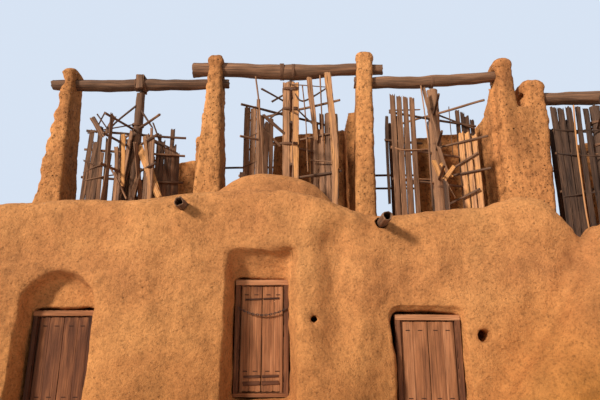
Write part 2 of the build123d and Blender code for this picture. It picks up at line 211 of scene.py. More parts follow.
plaster = mud_material("mud_plaster", pitting_and_pit_shade=0.35, weathering=0.22, whole=0.0, pocks=1.0)
eroded_mud = mud_material("eroded_mud", pitting_and_pit_shade=0.95, weathering=0.36, whole=0.12, pocks=0.62)


def only(piece):
    """The piece alone selected and active."""
    bpy.ops.object.select_all(action="DESELECT")
    piece.select_set(True)
    bpy.context.view_layer.objects.active = piece


def apply_all(piece):
    """Applies the modifiers of a piece, first to last."""
    only(piece)
    for name in [modifier.name for modifier in piece.modifiers]:
        bpy.ops.object.modifier_apply(modifier=name)


MERGED = 0.0004  # points of a copied node that are nearer than this are one


def copy_of(name, nodes):
    """The CAD nodes copied into one merged mesh that belongs to this script."""
    bpy.ops.object.select_all(action="DESELECT")
    for part in nodes:
        frame["nodes"][part].hide_viewport = False
        frame["nodes"][part].select_set(True)
    bpy.context.view_layer.objects.active = frame["nodes"][nodes[0]]
    bpy.ops.object.duplicate()
    if len(nodes) > 1:
        bpy.ops.object.join()
    piece = bpy.context.object
    bpy.ops.object.parent_clear(type="CLEAR_KEEP_TRANSFORM")
    piece.name = piece.data.name = name
    piece.hide_render = False
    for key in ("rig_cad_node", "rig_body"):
        if key in piece:
            del piece[key]
    piece.data.materials.clear()
    bpy.ops.object.mode_set(mode="EDIT")
    bpy.ops.mesh.select_all(action="SELECT")
    bpy.ops.mesh.remove_doubles(threshold=MERGED)
    bpy.ops.object.mode_set(mode="OBJECT")
    return piece


def cut(piece, height, keep_above):
    """The piece cut level at a height, with the cut closed."""
    only(piece)
    bpy.ops.object.mode_set(mode="EDIT")
    bpy.ops.mesh.select_all(action="SELECT")
    bpy.ops.mesh.bisect(
        plane_co=(0, 0, height), plane_no=(0, 0, 1),
        clear_inner=keep_above, clear_outer=not keep_above, use_fill=True,
    )
    bpy.ops.object.mode_set(mode="OBJECT")


ROOTED = 0.25  # how far a mass is run into the ground while it is shaped
AT_GROUND = 0.001


def mud_mass(name, nodes, voxel, rounding, lumps, material, above=None, below=None, level=0.6,
             without=(), reshape=None):
    """The CAD masses grown together, rounded by hand and rain. Lumps are (size, depth) pairs,
    and their level is the share that goes inwards. `without` has blocks to cut away first."""
    mass = copy_of(name, nodes)
    for corners in without:
        low, high = (Vector(corner) for corner in corners)
        bpy.ops.mesh.primitive_cube_add(size=1, location=(low + high) / 2, scale=high - low)
        block = bpy.context.object
        hollow = mass.modifiers.new("cut away", "BOOLEAN")
        hollow.object = block
        hollow.operation = "DIFFERENCE"
        apply_all(mass)
        bpy.data.objects.remove(block)
    if above is not None:
        cut(mass, above, True)
    if below is not None:
        cut(mass, below, False)
    for vertex in mass.data.vertices:
        if vertex.co.z < AT_GROUND:
            vertex.co.z -= ROOTED
    remesh = mass.modifiers.new("grown together", "REMESH")
    remesh.mode = "VOXEL"
    remesh.voxel_size = voxel
    smooth = mass.modifiers.new("rounded", "SMOOTH")
    smooth.factor = 0.5
    smooth.iterations = rounding
    for number, (size, depth) in enumerate(lumps):
        texture = bpy.data.textures.new(f"{name}_lumps_{number}", "CLOUDS")
        texture.noise_scale = size
        texture.noise_depth = 2
        lump = mass.modifiers.new(f"lumps {number}", "DISPLACE")
        lump.texture = texture
        lump.texture_coords = "LOCAL"
        lump.strength = depth
        lump.mid_level = level
    apply_all(mass)
    if reshape is not None:
        for vertex in mass.data.vertices:
            vertex.co = reshape(vertex.co)
    if min(vertex.co.z for vertex in mass.data.vertices) < 0:
        cut(mass, 0.0, True)
    only(mass)
    bpy.ops.object.shade_smooth()
    mass.data.materials.append(material)
    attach(mass, "mill_house")
    if below is None:
        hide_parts(*nodes)


NICHE_SIDES, NICHE_BACK, FACE = (-2.56, -1.61), 0.30, -0.15
NICHE_FOOT, NICHE_TOP, NICHE_RIM = 2.14, 2.56, 0.12
HOLLOW_X, HOLLOW_WIDTH, HOLLOW_DEPTH = -1.0, 0.27, 0.19
HOLLOW_FOOT, HOLLOW_HEAD = (0.8, 1.4), (2.6, 3.1)  # heights over which it deepens and runs out
SKIN, SKIN_FADE = 0.15, 0.3  # it fades out up to this depth, over this width


def eased(value, start, end):
    share = max(0.0, min(1.0, (value - start) / (end - start)))
    return share * share * (3 - 2 * share)


def worn_face(spot):
    """The second door's niche runs out upwards, and rain has hollowed the wall beside it."""
    x, y, z = spot
    in_niche = NICHE_SIDES[0] < x < NICHE_SIDES[1] and FACE < y < NICHE_BACK
    if in_niche and NICHE_FOOT < z < NICHE_TOP + NICHE_RIM:
        slope = 0.6 * eased(z, NICHE_FOOT, NICHE_TOP)
        y += (FACE - y) * (slope + 0.3 * eased(z, NICHE_TOP - 0.1, NICHE_TOP))
    if y < SKIN:
        beside = math.exp(-(((x - HOLLOW_X) / HOLLOW_WIDTH) ** 2))
        deep = HOLLOW_DEPTH * beside * eased(z, *HOLLOW_FOOT)
        y += deep * (1 - eased(z, *HOLLOW_HEAD)) * min(1, (SKIN - y) / SKIN_FADE)
    return Vector((x, y, z))


mud_mass(
    "front_wall", FRONT_NODES, 0.045, 6, ((1.3, 0.16), (0.42, 0.06), (0.14, 0.026)), plaster,
    reshape=worn_face,
)

# Roofs, rear wall and floor
# Mud roofs over the rooms with a dome over the second one, the raised floor of that room, the
# rear wall and the wind screens that stand on it. All are of the same brick and plaster.
mud_mass(
    "roofs", ["mud_roofs", "dome", "raised_floor"], 0.06, 5, ((0.9, 0.07), (0.25, 0.03)), plaster
)
mud_mass("rear_wall", ["rear_wall"], 0.07, 3, ((0.9, 0.06), (0.3, 0.03)), plaster)
mud_mass(
    "wind_screens", ["wind_screens"], 0.045, 5, ((0.7, 0.08), (0.18, 0.04)), eroded_mud
)

# Piers
# Tall mud piers on the cross walls, which carry the beams. Wind and rain have eaten them into
# notches and pits. The cross wall below each is shaped coarser than the pier, as it is hidden.
DECK = 3.0
PIER_FOOT = 2.9  # a pier is parted from its cross wall at this height
FIRST_PIER_MIDDLE = -6.91
# Height of the beam's top, the share of the pier's knob over it that is left, the knob's swelling,
# the pier's lumps, and how far its neck is shifted.
PIERS = (
    (7.09, 0.62, 1.16, ((0.6, 0.06), (0.17, 0.03), (0.07, 0.025)), 0.0),
    (7.53, 0.90, 1.00, ((0.5, 0.05), (0.16, 0.035), (0.07, 0.03)), 0.0),
    (7.48, 0.90, 1.05, ((0.6, 0.05), (0.2, 0.03), (0.07, 0.025)), -0.03),
    (7.30, 1.00, 1.00, ((0.6, 0.05), (0.2, 0.025), (0.07, 0.02)), 0.0),
    (6.90, 1.00, 1.00, ((0.5, 0.10), (0.16, 0.07), (0.08, 0.035)), 0.0),
)
SWOOPS = {  # blocks cut away, so that the wall behind these piers is level right up to the pier
    2: [((-3.95, 3.2, 5.66), (-3.79, 4.7, 6.4))],
    3: [((-0.6, 3.75, 6.32), (0.6, 4.95, 7.9))],
    4: [((2.2, 2.5, 5.90), (2.98, 3.77, 6.86)), ((2.2, 3.75, 6.30), (4.8, 4.95, 7.9))],
}
SHOULDER, SHOULDER_SPAN = 0.15, 0.3  # it swells from this far under that top, over this height
NECK_HEIGHT = 2.0
CRUMBLING, CRUMBLED_WIDTH = 0.16, 0.2
BACK_DEPTHS, BACK_EDGE, BACK_FOOT, BACK_LEAN = (3.2, 3.74), -0.31, 3.2, 0.041
NARROWING, NARROWED_HEIGHT, NARROWED_WIDTH = 0.13, 3.6, 0.3
for number, (seat, left, swelling, lumps, shift) in enumerate(PIERS, start=1):
    mud_mass(
        f"cross_wall_{number}", [f"pier_{number}"], 0.09, 2, ((0.5, 0.04),), plaster,
        below=PIER_FOOT + 0.1,
    )
    low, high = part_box(f"pier_{number}")
    middle = (low.x + high.x) / 2 if number > 1 else FIRST_PIER_MIDDLE

    def worn_down(spot):
        over = max(0.0, min(1.0, (spot.z - seat + SHOULDER) / SHOULDER_SPAN))
        x = middle + (spot.x - middle) * (1 + (swelling - 1) * over)
        x += shift * max(0.0, min(1.0, (spot.z - DECK) / NECK_HEIGHT))
        if number == 1 and spot.x < middle:  # the sunny edge has crumbled between its courses
            crumbled = noise.noise(Vector((3.1, spot.y * 1.6, spot.z * 3.4)))
            inwards = min(1.0, (middle - spot.x) / CRUMBLED_WIDTH)
            x += CRUMBLING * max(0.0, crumbled + 0.08) * inwards
        if number == 3 and BACK_DEPTHS[0] < spot.y < BACK_DEPTHS[1]:
            # and this one's back is no wider than its face
            x = max(x, BACK_EDGE + BACK_LEAN * (spot.z - BACK_FOOT))
        if number == 4 and spot.x > middle:  # this one's right side narrows towards its foot
            lower = max(0.0, 1 - (spot.z - DECK) / NARROWED_HEIGHT)
            x -= NARROWING * lower * min(1.0, (spot.x - middle) / NARROWED_WIDTH)
        z = min(spot.z, seat) + max(0.0, spot.z - seat) * left
        return Vector((x, spot.y, z))

    mud_mass(
        f"pier_{number}_mud", [f"pier_{number}"], 0.032, 4, lumps, eroded_mud, above=PIER_FOOT,
        level=0.5, without=SWOOPS.get(number, ()), reshape=worn_down,
    )

# Beams
# Whole trunks laid from pier to pier, stripped of bark and weathered grey brown, with long
# cracks along the grain. The head pin of a shaft turns in the middle of each.
SHAFT_LINE = 3.3
BEAMS = (  # node, points along the trunk with their radii, tone
    (1, ((-7.37, 3.96, 0.125), (-6.2, 3.935, 0.142), (-5.27, 3.95, 0.14), (-4.3, 3.965, 0.13),
         (-3.17, 3.98, 0.115)), 0.30),
    (2, ((-4.07, 4.36, 0.175), (-3.0, 4.335, 0.172), (-1.795, 4.29, 0.19), (-0.6, 4.345, 0.152),
         (0.48, 4.36, 0.125)), 0.42),
    (3, ((-0.22, 4.02, 0.135), (0.7, 4.02, 0.145), (1.52, 4.04, 0.145), (2.4, 4.105, 0.138),
         (3.26, 4.19, 0.125)), 0.42),
    (4, ((3.98, 3.565, 0.155), (4.6, 3.595, 0.152), (5.515, 3.64, 0.165), (6.4, 3.71, 0.145),
         (7.35, 3.76, 0.135)), 0.36),
)
WOOD_TONES = (  # from old and sooty to newly split
    (0.0, (0.055, 0.034, 0.026, 1)),
    (0.25, (0.130, 0.070, 0.043, 1)),
    (0.5, (0.30, 0.150, 0.080, 1)),
    (0.75, (0.52, 0.255, 0.125, 1)),
    (1.0, (0.78, 0.36, 0.12, 1)),
)


def timber_material(name, tones, cracking):
    """Weathered wood. Its grain follows each stick, and its tone goes from sooty to newly split."""
    material, tree, shader = new_material(name, 0.85, 0.2)
    tone = node(tree, "ShaderNodeAttribute", attribute_name="tone").outputs["Fac"]
    broad = clouds(tree, mapped(tree, (9, 9, 1.3), attribute="grain"), 1.0, 4.0)
    uneven = node(tree, "ShaderNodeMath", operation="MULTIPLY_ADD")
    uneven.inputs[1].default_value = 0.8
    tree.links.new(broad, uneven.inputs[0])
    shifted = node(tree, "ShaderNodeMath", operation="SUBTRACT")
    shifted.inputs[1].default_value = 0.4
    tree.links.new(tone, shifted.inputs[0])
    tree.links.new(shifted.outputs[0], uneven.inputs[2])
    colour = ramp(tree, uneven.outputs[0], tones)
    fibres = clouds(tree, mapped(tree, (55, 55, 2.2), attribute="grain"), 1.0, 7.0, 0.65)
    shade = ramp(tree, fibres, ((0.28, grey(0.42)), (0.5, grey(0.98)), (0.72, grey(1.35))))
    colour = mixed(tree, "MULTIPLY", 1.0, colour, shade)
    shakes = clouds(tree, mapped(tree, (26, 26, 0.35), attribute="grain"), 1.0, 2.0, 0.4)
    cracks = ramp(tree, shakes, (
        (0.483, grey(1)), (0.495, grey(0.15)), (0.503, grey(0.15)), (0.515, grey(1)),
    ))
    colour = mixed(tree, "MULTIPLY", cracking, colour, cracks)
    tree.links.new(colour, shader.inputs["Base Color"])
    bumps(tree, shader, ((fibres, 0.6, 0.006), (cracks, 0.5, 0.008)))
    return material


old_wood = timber_material("weathered_wood", WOOD_TONES, 0.8)


def master(name, sides, rings, across=0, bevel=0.09):
    """A stick of unit size to be copied: a square one with `across` cuts, or a round one."""
    if sides == 4:
        bpy.ops.mesh.primitive_cube_add(size=1, location=(0, 0, 0.5))
    else:
        bpy.ops.mesh.primitive_cylinder_add(
            vertices=sides, radius=0.5, depth=1, location=(0, 0, 0.5), end_fill_type="TRIFAN"
        )
    piece = bpy.context.object
    bpy.ops.object.transform_apply()
    bpy.ops.object.mode_set(mode="EDIT")
    bpy.ops.mesh.select_mode(type="EDGE")
    for axis, cuts in ((2, rings), (0, across)):
        if not cuts:
            continue
        bpy.ops.mesh.select_all(action="DESELECT")
        bpy.ops.object.mode_set(mode="OBJECT")
        for edge in piece.data.edges:
            ends = [piece.data.vertices[index].co for index in edge.vertices]
            run = ends[1] - ends[0]
            edge.select = abs(run[axis]) > 0.9 * run.length
        bpy.ops.object.mode_set(mode="EDIT")
        bpy.ops.mesh.subdivide(number_cuts=cuts)
    if sides == 4:
        bpy.ops.mesh.select_all(action="DESELECT")
        bpy.ops.object.mode_set(mode="OBJECT")
        for edge in piece.data.edges:
            ends = [piece.data.vertices[index].co for index in edge.vertices]
            edge.select = all(
                abs(abs(end.x) - 0.5) < 0.001 and abs(abs(end.y) - 0.5) < 0.001 for end in ends
            )
        bpy.ops.object.mode_set(mode="EDIT")
        bpy.ops.mesh.bevel(offset=bevel, segments=1)
    bpy.ops.object.mode_set(mode="OBJECT")
    piece.name = piece.data.name = name
    return piece


def smooth_line(points, share):
    """A place on the smooth line through some points of any number of values."""
    spans = len(points) - 1
    span = min(int(share * spans), spans - 1)
    step = share * spans - span
    before, start, end, after = (points[max(0, min(spans, span + move))] for move in (-1, 0, 1, 2))
    return [
        0.5 * (2 * b + (c - a) * step + (2 * a - 5 * b + 4 * c - d) * step**2
               + (3 * b - a - 3 * c + d) * step**3)
        for a, b, c, d in zip(before, start, end, after)
    ]


DRIFT_SEED = 1
noise.seed_set(DRIFT_SEED)  # unseeded, a stick's drift would differ on each run


def lay(kind, points, width, thickness, facing=(0, -1, 0), seed=0, tone=0.4, wander=0.012,
        ragged=0.0, taper=1.0, rough=0.12):
    """A copy of a master stick, laid along a line and shaped as that stick has grown or split."""
    piece = kind.copy()
    piece.data = kind.data.copy()
    bpy.context.scene.collection.objects.link(piece)
    facing = Vector(facing).normalized()
    length = sum((Vector(b[:3]) - Vector(a[:3])).length for a, b in zip(points, points[1:]))
    draws = random.Random(seed)
    place = Vector([draws.uniform(-40, 40) for _ in range(3)])
    grain, tones = [], []
    for vertex in piece.data.vertices:
        u, v, w = vertex.co
        spot = smooth_line(points, w)
        ahead = Vector(smooth_line(points, min(1, w + 0.02))[:3])
        behind = Vector(smooth_line(points, max(0, w - 0.02))[:3])
        run = (ahead - behind).normalized()
        side = run.cross(facing).normalized()
        out = side.cross(run)
        swell = spot[3] if len(spot) > 3 else 1.0
        swell *= 1 - (1 - taper) * w
        down = w * length
        knots = noise.noise(place + Vector((u * 2.4, v * 2.4, down * 2.6)))
        drift = noise.noise_vector(place + Vector((0, 0, down * 1.1))) * wander
        a = u * width * swell * (1 + rough * 2 * knots)
        b = v * thickness * swell * (1 + rough * 2 * knots)
        end_cut = 0.0
        if ragged and (w > 0.999 or w < 0.001):
            tooth = noise.noise(place + Vector((u * 5.3, 7.0 * w, v)))
            end_cut = ragged * (0.4 + tooth) * (1 if w < 0.5 else -1)
        vertex.co = Vector(spot[:3]) + side * (a + drift.x) + out * (b + drift.y) + run * end_cut
        grain.append(Vector((u * width, v * thickness, down)) + place)
        tones.append(tone)
    stretched = piece.data.attributes.new("grain", "FLOAT_VECTOR", "POINT")
    stretched.data.foreach_set("vector", [value for point in grain for value in point])
    piece.data.attributes.new("tone", "FLOAT", "POINT").data.foreach_set("value", tones)
    return piece


def face_outwards(stick):
    """Turns a closed stick's faces over where they point inwards, as laying can mirror it."""
    mesh = stick.data
    mesh.calc_loop_triangles()
    near = mesh.vertices[0].co.copy()
    volume = 0.0
    for triangle in mesh.loop_triangles:
        a, b, c = (mesh.vertices[index].co - near for index in triangle.vertices)
        volume += a.dot(b.cross(c))
    if volume < 0:
        mesh.flip_normals()


def joined(name, sticks, material, body, nodes=()):
    """Sticks joined into one piece that rides on a body and stands for CAD nodes."""
    bpy.ops.object.select_all(action="DESELECT")
    for stick in sticks:
        face_outwards(stick)
        stick.select_set(True)
    bpy.context.view_layer.objects.active = sticks[0]
    if len(sticks) > 1:
        bpy.ops.object.join()
    piece = bpy.context.object
    piece.name = piece.data.name = name
    bpy.ops.object.shade_smooth_by_angle(angle=math.radians(40))
    piece.data.materials.clear()
    piece.data.materials.append(material)
    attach(piece, body)
    if nodes:
        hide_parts(*nodes)


trunk = master("trunk", 20, 40)
board = master("board", 4, 11, 3)
plank = master("plank", 4, 11, 3, bevel=0.02)
pole = master("pole", 8, 12)

BEAM_GIRTH = 0.97  # share of the radii above
for number, points, tone in BEAMS:
    line = [(x, SHAFT_LINE, DECK + rise, 2 * radius) for x, rise, radius in points]
    beam = lay(
        trunk, line, BEAM_GIRTH, BEAM_GIRTH, seed=number, tone=tone, wander=0.02, rough=0.09,
        ragged=0.05,
    )
    joined(f"beam_{number}_trunk", [beam], old_wood, "mill_house", [f"beam_{number}"])

# Drain spouts
# Hollowed logs that throw rain clear of the front wall, greyed and split at the lip. They are
# bedded in the mud of the wall.
SPOUTS = ((-3.23, 0.17), (-0.26, -0.04))  # distance along the wall, rise over the deck
SPOUT_REACH, LIP, SPOUT_TONE = 0.3, -0.4, 0.35
for number, (x, rise) in enumerate(SPOUTS, start=1):
    spout = copy_of(f"spout_{number}", ["drain_spouts"])
    far_side = [
        vertex.index for vertex in spout.data.vertices if abs(vertex.co.x - x) > SPOUT_REACH
    ]
    bpy.ops.object.mode_set(mode="EDIT")
    bpy.ops.mesh.select_mode(type="VERT")
    bpy.ops.mesh.select_all(action="DESELECT")
    bpy.ops.object.mode_set(mode="OBJECT")
    for index in far_side:
        spout.data.vertices[index].select = True
    bpy.ops.object.mode_set(mode="EDIT")
    bpy.ops.mesh.delete(type="VERT")
    bpy.ops.object.mode_set(mode="OBJECT")
    remesh = spout.modifiers.new("rough", "REMESH")
    remesh.mode = "VOXEL"
    remesh.voxel_size = 0.008
    apply_all(spout)
    grain, height = [], DECK + rise
    for vertex in spout.data.vertices:
        x_off, z_off = vertex.co.x - x, vertex.co.z - height
        worn = 0.012 * noise.noise(Vector((x_off * 18, vertex.co.y * 4, z_off * 18 + number)))
        reach = math.hypot(x_off, z_off)
        vertex.co.x += x_off / reach * worn
        vertex.co.z += z_off / reach * worn
        if vertex.co.y < LIP:
            vertex.co.y += 0.035 * (1 + noise.noise(Vector((x_off * 22, 0, z_off * 22))))
        grain += [x_off, z_off, vertex.co.y + number]
    stretched = spout.data.attributes.new("grain", "FLOAT_VECTOR", "POINT")
    stretched.data.foreach_set("vector", grain)
    spout.data.attributes.new("tone", "FLOAT", "POINT").data.foreach_set(
        "value", [SPOUT_TONE] * len(spout.data.vertices)
    )
    joined(f"spout_{number}", [spout], old_wood, "mill_house", ["drain_spouts"])

# Footstep stones
# Flat stones bedded on the mud deck, their edges worn round. Each has a socket in which a
# shaft's foot pin turns.
stone, tree, shader = new_material("pale_stone", 0.9, 0.25)
veins = clouds(tree, mapped(tree, (1, 1, 2.5)), 6.0, 8.0, 0.7)
tree.links.new(
    ramp(tree, veins, (
        (0.3, (0.20, 0.15, 0.11, 1)), (0.5, (0.36, 0.28, 0.21, 1)), (0.7, (0.48, 0.40, 0.31, 1)),
    )),
    shader.inputs["Base Color"],
)
bumps(tree, shader, ((veins, 0.6, 0.02),))
stones = copy_of("footstep_stones_cut", ["footstep_stones"])
remesh = stones.modifiers.new("worn", "REMESH")
remesh.mode = "VOXEL"
remesh.voxel_size = 0.02
smooth = stones.modifiers.new("rounded", "SMOOTH")
smooth.iterations = 2
apply_all(stones)
bpy.ops.object.shade_smooth()
stones.data.materials.append(stone)
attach(stones, "mill_house")
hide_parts("footstep_stones")

# Slot poles
# Thin poles that cross the wind slots between the screens and the piers. Their ends are built
# into the mud on both sides.
POLE_LINE, POLE_GIRTH, BUILT_IN = 4.84, 0.056, 0.02
SLOTS = ((-3.474, -2.196, 2.4), (0.116, 1.454, 2.18), (0.116, 1.454, 1.83), (3.476, 5.194, 2.3))
slot_poles = [
    lay(pole, ((left - BUILT_IN, POLE_LINE, DECK + rise),
               (right + BUILT_IN, POLE_LINE, DECK + rise + 0.01)),
        POLE_GIRTH, POLE_GIRTH, seed=700 + count, tone=0.15, wander=0.02)
    for count, (left, right, rise) in enumerate(SLOTS)
]
joined("slot_poles_rough", slot_poles, old_wood, "mill_house", ["slot_poles"])

# Doors
# Pairs of plank leaves hung on wooden pivots in a frame of rough timber. The planks are nailed
# to ledges behind, and have staples and dark bars in front.
DOORS = (  # middle, width, sill, head, face, tone
    (-4.97, 0.91, 0.12, 1.67, 0.18, 0.34),
    (-2.06, 0.80, 0.47, 2.12, 0.17, 0.54),
    (0.34, 0.94, 0.12, 1.61, 0.06, 0.52),
    (5.40, 0.90, 0.12, 1.61, 0.06, 0.42),
)
JAMB, LINTEL, THRESHOLD, FRAME_DEPTH = 0.08, 0.09, 0.06, 0.10
LEAF_GAP, LEAF_THICKNESS, STILE = 0.006, 0.03, 0.024
FIT = 0.004  # a frame timber is this much slimmer than its place
STAPLE_HALF, STAPLE_FACE = 0.03, 0.018
LEDGE_RISE, LEDGE_BACK, LEDGE_HEIGHT, LEDGE_THICKNESS = 0.19, 0.027, 0.08, 0.024
PIVOT_REACH, BAR_FACE, BAR_THICKNESS = 0.036, 0.022, 0.014
DOOR_TONES = (
    (0.0, (0.050, 0.020, 0.012, 1)),
    (0.25, (0.135, 0.050, 0.024, 1)),
    (0.5, (0.31, 0.118, 0.048, 1)),
    (0.75, (0.47, 0.20, 0.090, 1)),
    (1.0, (0.62, 0.30, 0.14, 1)),
)
door_wood = timber_material("door_planks", DOOR_TONES, 0.0)
PLANK_SHARES = (0.6, 0.4)  # the plank by the middle is the wider one
for number, (middle, width, sill, head, face, tone) in enumerate(DOORS, start=1):
    depth = face + FRAME_DEPTH / 2
    half = width / 2
    # The jambs' tone is set below the leaves' as painted shade on the doorway's sides.
    timbers = [
        lay(board, ((middle + side * (half - JAMB / 2), depth, sill + 0.01),
                    (middle + side * (half - JAMB / 2), depth, head - 0.01)),
            JAMB - FIT, FRAME_DEPTH, seed=number * 10 + side, tone=tone - 0.22, wander=0.003,
            rough=0.03)
        for side in (-1, 1)
    ]
    rails = ((head - LINTEL / 2, LINTEL, 0.22), (sill + THRESHOLD / 2, THRESHOLD, -0.12))
    for level, tall, pale in rails:
        timbers.append(
            lay(board, ((middle - half + 0.005, depth, level),
                        (middle + half - 0.005, depth, level)),
                tall - FIT, FRAME_DEPTH + 0.01, seed=number * 10 + 5, tone=tone + pale,
                wander=0.006, rough=0.05)
        )
    joined(
        f"door_{number}_timbers", timbers, door_wood, "mill_house",
        [f"door_{number}_frame"],
    )
    low, high = sill + THRESHOLD + LEAF_GAP, head - LINTEL - LEAF_GAP
    for side, label in ((-1, "left"), (1, "right")):
        hinge = middle + side * (half - JAMB - LEAF_GAP - STILE)
        edges = sorted((hinge, middle + side * LEAF_GAP / 2))
        planks, edge = [], middle + side * LEAF_GAP / 2
        for count, share in enumerate(PLANK_SHARES):
            wide = (edges[1] - edges[0]) * share
            spot = edge + side * wide / 2
            planks.append(
                lay(plank, ((spot, depth, low + 0.002), (spot, depth, high - 0.002)),
                    wide - 0.005, LEAF_THICKNESS, seed=number * 100 + side * 10 + count,
                    tone=tone + 0.07 * math.sin(number * 7 + side * 3 + count * 2.4), wander=0.002,
                    rough=0.02, ragged=0.012)
            )
            for level in (high - 0.13, low + 0.28):  # a staple through the middle of each plank
                planks.append(
                    lay(pole, ((spot - STAPLE_HALF, depth - STAPLE_FACE, level),
                               (spot + STAPLE_HALF, depth - STAPLE_FACE, level)),
                        0.012, 0.008, seed=count, tone=0.0, wander=0.0, rough=0.0)
                )
            edge += side * wide
        planks.append(
            lay(pole, ((hinge, depth, low - PIVOT_REACH), (hinge, depth, high + PIVOT_REACH)),
                0.046, 0.028,
                seed=number, tone=tone - 0.1, wander=0.0, rough=0.02)
        )
        inner, outer = middle + side * 0.035, hinge - side * 0.078
        for level in (low + LEDGE_RISE, high - LEDGE_RISE):
            planks.append(
                lay(board, ((inner, depth + LEDGE_BACK, level), (outer, depth + LEDGE_BACK, level)),
                    LEDGE_HEIGHT, LEDGE_THICKNESS, seed=number + int(level * 10), tone=tone - 0.1,
                    wander=0.0, rough=0.02)
            )
        if number == 2:
            bars = ((high - 0.19, 0.022, 0.05), (low + 0.21, 0.035, 0.12), (low + 0.12, 0.05, 0.10))
        else:
            bars = ((low + 0.16, 0.05, 0.14),)
        for level, tall, bar_tone in bars:
            reach = hinge - side * 0.035
            planks.append(
                lay(board, ((middle + side * 0.008, depth - BAR_FACE, level),
                            (reach, depth - BAR_FACE, level + 0.01 * side)),
                    tall, BAR_THICKNESS, seed=number + int(level * 70), tone=bar_tone,
                    wander=0.004, ragged=0.02)
            )
        joined(
            f"door_{number}_{label}_planks", planks, door_wood, f"door_{number}_{label}_leaf",
            [f"door_{number}_{label}_leaf"],
        )

# Shafts
# Each rotor turns on a straight trunk. Pins in its foot and head turn in the stone and the beam.
# Twisted rope is tied round shafts and beams, and a clasp of planks sits on the first beam.
ROTORS = (  # axis, radius, shaft radius at foot and head, shaft head, first sail's turn, arms
    (-5.26, 1.10, 0.118, 0.096, 3.717, 12, (0.50, 1.60, 2.25, 2.70)),
    (-1.725, 1.26, 0.122, 0.104, 4.011, 32, (0.50, 1.50, 2.40, 3.15)),
    (1.62, 1.18, 0.132, 0.122, 3.806, 20, (0.50, 1.51, 2.23, 3.07)),
    (5.40, 1.10, 0.122, 0.104, 3.386, 4, (0.50, 1.32, 2.22, 2.76)),
)
SHAFT_FOOT, PIN_FOOT = 0.1103, 0.05
ARM_PITCH = 0.066
SHAFT_TONES = (0.34, 0.30, 0.55, 0.2)
rope, tree, shader = new_material("twisted_rope", 0.9, 0.15)
strands = clouds(tree, mapped(tree, (40, 40, 160)), 1.0, 3.0)
tree.links.new(
    ramp(tree, strands, ((0.3, (0.10, 0.045, 0.025, 1)), (0.7, (0.30, 0.155, 0.09, 1)))),
    shader.inputs["Base Color"],
)
bumps(tree, shader, ((strands, 0.8, 0.006),))
bpy.ops.mesh.primitive_torus_add(
    major_segments=20, minor_segments=6, major_radius=1, minor_radius=0.1
)
ring = bpy.context.object
ring.name = "ring"


def lashing(middle, half_width, half_depth, thickness, turns, square=1.0, upright=True):
    """Turns of rope tied round a shaft or, where it isn't upright, round a beam."""
    made = []
    for turn in range(turns):
        piece = ring.copy()
        piece.data = ring.data.copy()
        bpy.context.scene.collection.objects.link(piece)
        for vertex in piece.data.vertices:
            around = math.atan2(vertex.co.y, vertex.co.x)
            reach = (math.hypot(vertex.co.x, vertex.co.y) - 1) / 0.1 * thickness
            rise = vertex.co.z / 0.1 * thickness + (turn - (turns - 1) / 2) * thickness * 1.9
            rise += 0.006 * math.sin(around * 2 + turn)
            across, along = (
                math.copysign(abs(value) ** square, value)
                for value in (math.cos(around), math.sin(around))
            )
            spot = Vector((across * (half_width + reach), along * (half_depth + reach), rise))
            vertex.co = Vector(middle) + (spot if upright else Vector((spot.z, spot.y, spot.x)))
        made.append(piece)
    return made


BEAM_ROPE, SHAFT_ROPE = 0.012, 0.011
BEAM_LASHINGS = (  # distance, rise over the deck, radius, turns
    (-5.36, 3.95, 0.142, 3), (-5.16, 3.95, 0.142, 3), (-1.93, 4.30, 0.192, 4),
    (-1.66, 4.29, 0.19, 3), (1.62, 4.04, 0.148, 3),
)
ties = []
for x, rise, radius, turns in BEAM_LASHINGS:
    ties += lashing((x, SHAFT_LINE, DECK + rise), radius, radius, BEAM_ROPE, turns, upright=False)
joined("beam_lashings", ties, rope, "mill_house")
CLASP_X, CLASP_FOOT, CLASP_TOP = -5.26, 3.79, 4.15
clasps = [
    lay(board, ((CLASP_X, SHAFT_LINE + side * 0.155, DECK + CLASP_FOOT),
                (CLASP_X, SHAFT_LINE + side * 0.155, DECK + CLASP_TOP)),
        0.17, 0.05, seed=90 + side, tone=0.45, wander=0.004, ragged=0.02)
    for side in (-1, 1)
] + [
    lay(board, ((CLASP_X, SHAFT_LINE - 0.17, DECK + 4.115),
                (CLASP_X, SHAFT_LINE + 0.17, DECK + 4.12)),
        0.20, 0.05, facing=(0, 0, 1), seed=93, tone=0.3, wander=0.004)
]
joined("beam_clasp", clasps, old_wood, "mill_house")
SPLICES = ((-0.082, 0.165, 0.64), (0.096, 0.19, 0.88))  # second shaft: offset, girth, tone
SPLICE_FOOT, SPLICE_TOP = 1.35, 3.96
SPLICE_TIES = (1.55, 2.42, 3.28, 3.78)
